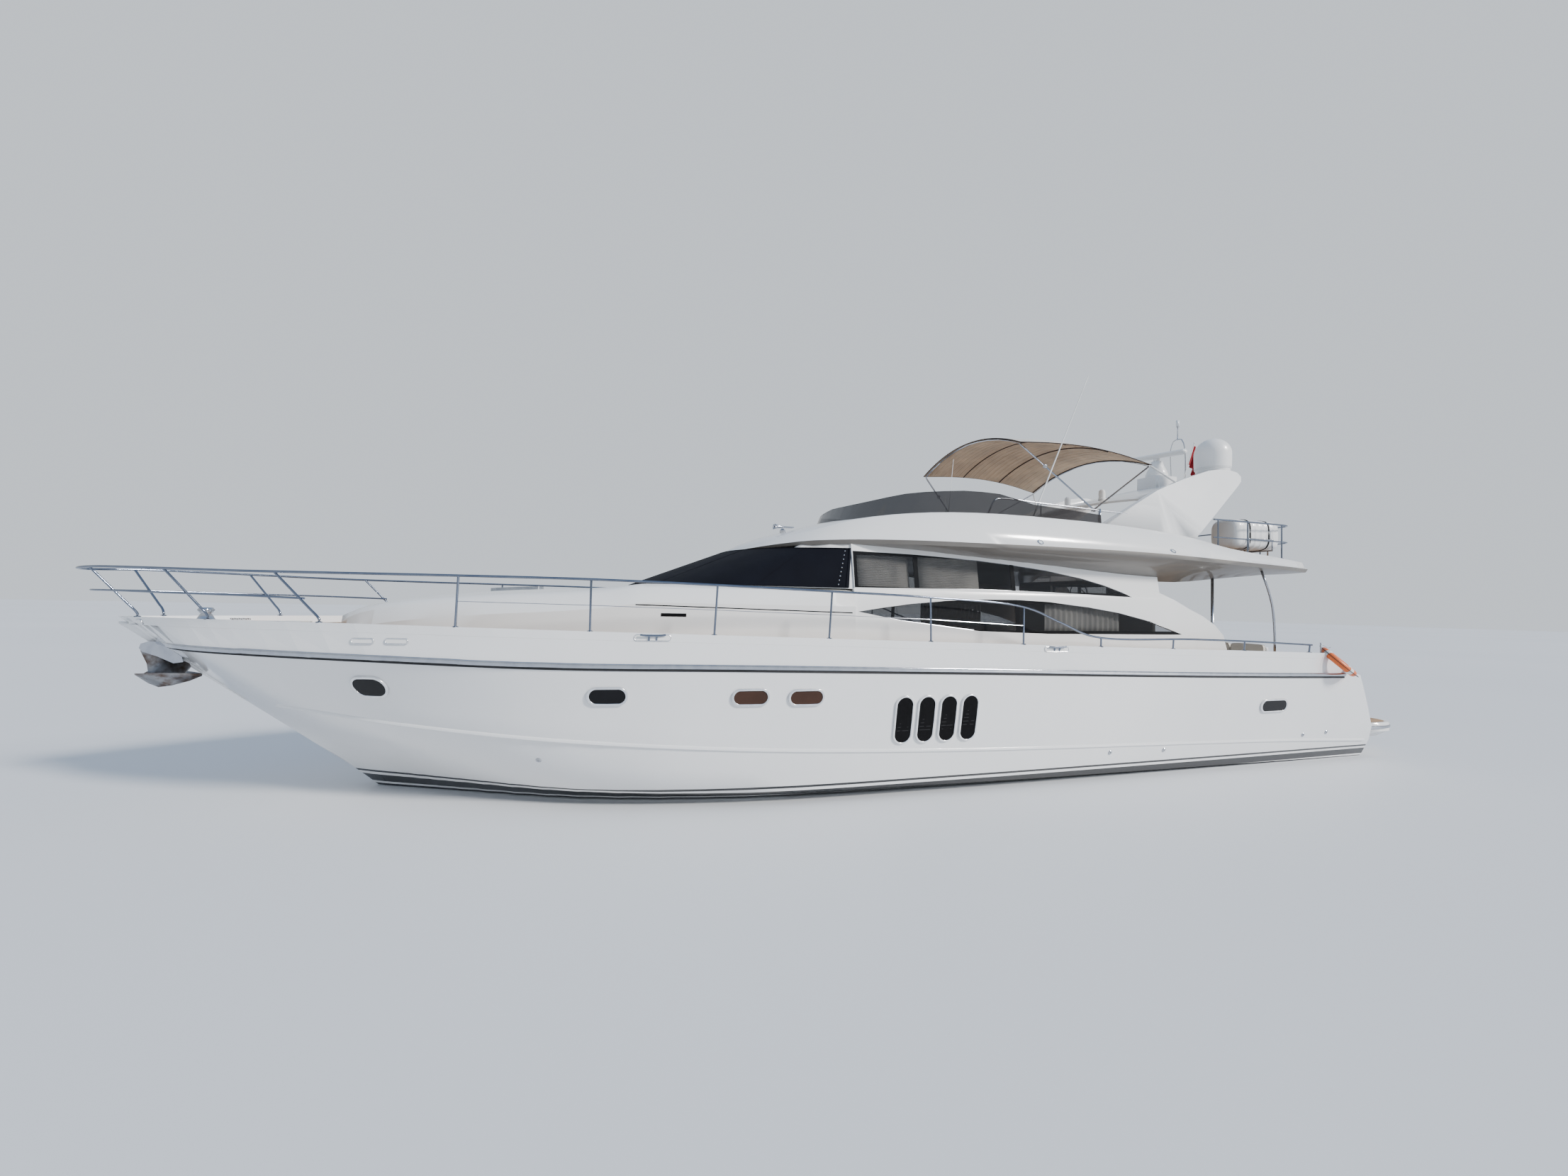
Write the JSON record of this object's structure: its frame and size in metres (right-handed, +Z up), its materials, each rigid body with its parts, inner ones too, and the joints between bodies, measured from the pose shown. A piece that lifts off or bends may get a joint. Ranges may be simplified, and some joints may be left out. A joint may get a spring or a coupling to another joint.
{
  "type": "motor yacht",
  "caption": "Flybridge motor yacht afloat, with hollow deckhouse, rails, radar arch and bimini; screws, rudders, door, gates, hatches, wheel, scanner and bow move.",
  "frame": {"origin": "on the centreline at the waterline, half way along the hull, on the mount flotation", "axes": "+X forward to the bow, +Y to port, +Z up; z = 0 is the surface of the water"},
  "size_m": [20.904, 5.1416, 7.85],
  "materials": {
    "gelcoat": "glossy white gelcoat",
    "stainless": "polished",
    "window_glass": "dark tinted, polished",
    "smoked_acrylic": "smoked, polished",
    "cover_fabric": "woven, dark blue",
    "teak": "oiled",
    "upholstery": "matte vinyl",
    "canvas": "woven, tan",
    "bronze": "cast bronze",
    "wheel_black": "satin"
  },
  "bodies": {
    "yacht": {"hull": "gelcoat", "bulwark": "gelcoat", "coachroof": "gelcoat", "bathing_platform": "gelcoat", "deckhouse_side_port": "gelcoat", "deckhouse_side_starboard": "gelcoat", "windscreen_surround": "gelcoat", "saloon_bulkhead": "gelcoat", "flybridge": "gelcoat", "fly_console": "gelcoat", "liferaft": "gelcoat", "radar_arch": "gelcoat", "radome": "gelcoat", "scanner_pedestal": "gelcoat", "stem_fitting": "stainless", "anchor": "stainless", "windlass": "stainless", "bow_rail": "stainless", "saloon_fixed_pane": "stainless", "fly_stairs": "stainless", "fly_aft_rail": "stainless", "liferaft_cradle": "stainless", "light_mast": "stainless", "bimini_after_bow": "stainless", "overhang_post_port": "stainless", "overhang_post_starboard": "stainless", "overhang_strut_port": "stainless", "overhang_strut_starboard": "stainless", "shaft_port": "stainless", "shaft_starboard": "stainless", "upper_window_port": "window_glass", "upper_window_starboard": "window_glass", "lower_window_port": "window_glass", "lower_window_starboard": "window_glass", "windscreen_glass": "window_glass", "fly_screen": "smoked_acrylic", "windscreen_cover": "cover_fabric", "cockpit_table": "teak", "fly_table": "teak", "cockpit_seat": "upholstery", "saloon_furniture": "upholstery", "fly_helm_seat": "upholstery", "fly_settee": "upholstery", "bimini_canopy": "canvas"},
    "port_propeller": {"propeller_port": "bronze"},
    "starboard_propeller": {"propeller_starboard": "bronze"},
    "port_rudder": {"rudder_port": "bronze"},
    "starboard_rudder": {"rudder_starboard": "bronze"},
    "door_leaf": {"saloon_door": "stainless"},
    "port_gate": {"transom_gate_port": "gelcoat"},
    "starboard_gate": {"transom_gate_starboard": "gelcoat"},
    "locker_lid": {"anchor_locker_lid": "gelcoat"},
    "fore_hatch": {"foredeck_hatch": "smoked_acrylic"},
    "lazarette": {"lazarette_lid": "teak"},
    "hatch_over_stairs": {"stair_hatch": "gelcoat"},
    "helm_wheel": {"fly_wheel": "wheel_black"},
    "scanner_bar": {"radar_scanner": "gelcoat"},
    "fore_bow": {"bimini_fore_bow": "stainless"}
  },
  "joints": [
    {"name": "propeller_port_spin", "type": "hinge", "parent": "yacht", "child": "port_propeller", "pos_m": [-8.18, 0.85, -0.935], "axis": [-0.984, 0, -0.1782], "continuous": true},
    {"name": "propeller_starboard_spin", "type": "hinge", "parent": "yacht", "child": "starboard_propeller", "pos_m": [-8.18, -0.85, -0.935], "axis": [-0.984, 0, -0.1782], "continuous": true},
    {"name": "rudder_port_turn", "type": "hinge", "parent": "yacht", "child": "port_rudder", "pos_m": [-8.75, 0.87, -0.45], "axis": [0, 0, 1], "range_deg": [-35, 35]},
    {"name": "rudder_starboard_turn", "type": "hinge", "parent": "yacht", "child": "starboard_rudder", "pos_m": [-8.75, -0.87, -0.45], "axis": [0, 0, 1], "range_deg": [-35, 35]},
    {"name": "saloon_door_slide", "type": "slide", "parent": "yacht", "child": "door_leaf", "axis": [0, 1, 0], "range_m": [0, 0.75]},
    {"name": "transom_gate_port_hinge", "type": "hinge", "parent": "yacht", "child": "port_gate", "pos_m": [-8.605, 1.8496, 1.5], "axis": [0, 0, 1], "range_deg": [0, 90]},
    {"name": "transom_gate_starboard_hinge", "type": "hinge", "parent": "yacht", "child": "starboard_gate", "pos_m": [-8.605, -1.8496, 1.5], "axis": [0, 0, -1], "range_deg": [0, 90]},
    {"name": "anchor_locker_lid_hinge", "type": "hinge", "parent": "yacht", "child": "locker_lid", "pos_m": [8.12, 0, 2.2555], "axis": [0, -1, 0], "range_deg": [0, 80]},
    {"name": "foredeck_hatch_hinge", "type": "hinge", "parent": "yacht", "child": "fore_hatch", "pos_m": [5.79, 0, 2.7705], "axis": [0, 1, 0], "range_deg": [0, 80]},
    {"name": "lazarette_lid_hinge", "type": "hinge", "parent": "yacht", "child": "lazarette", "pos_m": [-6.08, 0, 1.25], "axis": [0, 1, 0], "range_deg": [0, 85]},
    {"name": "stair_hatch_hinge", "type": "hinge", "parent": "yacht", "child": "hatch_over_stairs", "pos_m": [-5.7, -1.745, 3.588], "axis": [1, 0, 0], "range_deg": [0, 85]},
    {"name": "fly_wheel_turn", "type": "hinge", "parent": "yacht", "child": "helm_wheel", "pos_m": [-0.7013, -0.76, 4.04141], "axis": [-0.7662, 0, 0.6426], "range_deg": [-450, 450]},
    {"name": "radar_scanner_spin", "type": "hinge", "parent": "yacht", "child": "scanner_bar", "pos_m": [-6.35, 0.42, 5.62], "axis": [0, 0, 1], "continuous": true},
    {"name": "bimini_fore_bow_fold", "type": "hinge", "parent": "yacht", "child": "fore_bow", "pos_m": [-3.4, 0, 4.25], "axis": [0, 1, 0], "range_deg": [-85, 0], "deforming": ["bimini_canopy"]}
  ],
  "couplings": [
    {"joint": "rudder_starboard_turn", "follows": "rudder_port_turn", "ratio": 1}
  ]
}
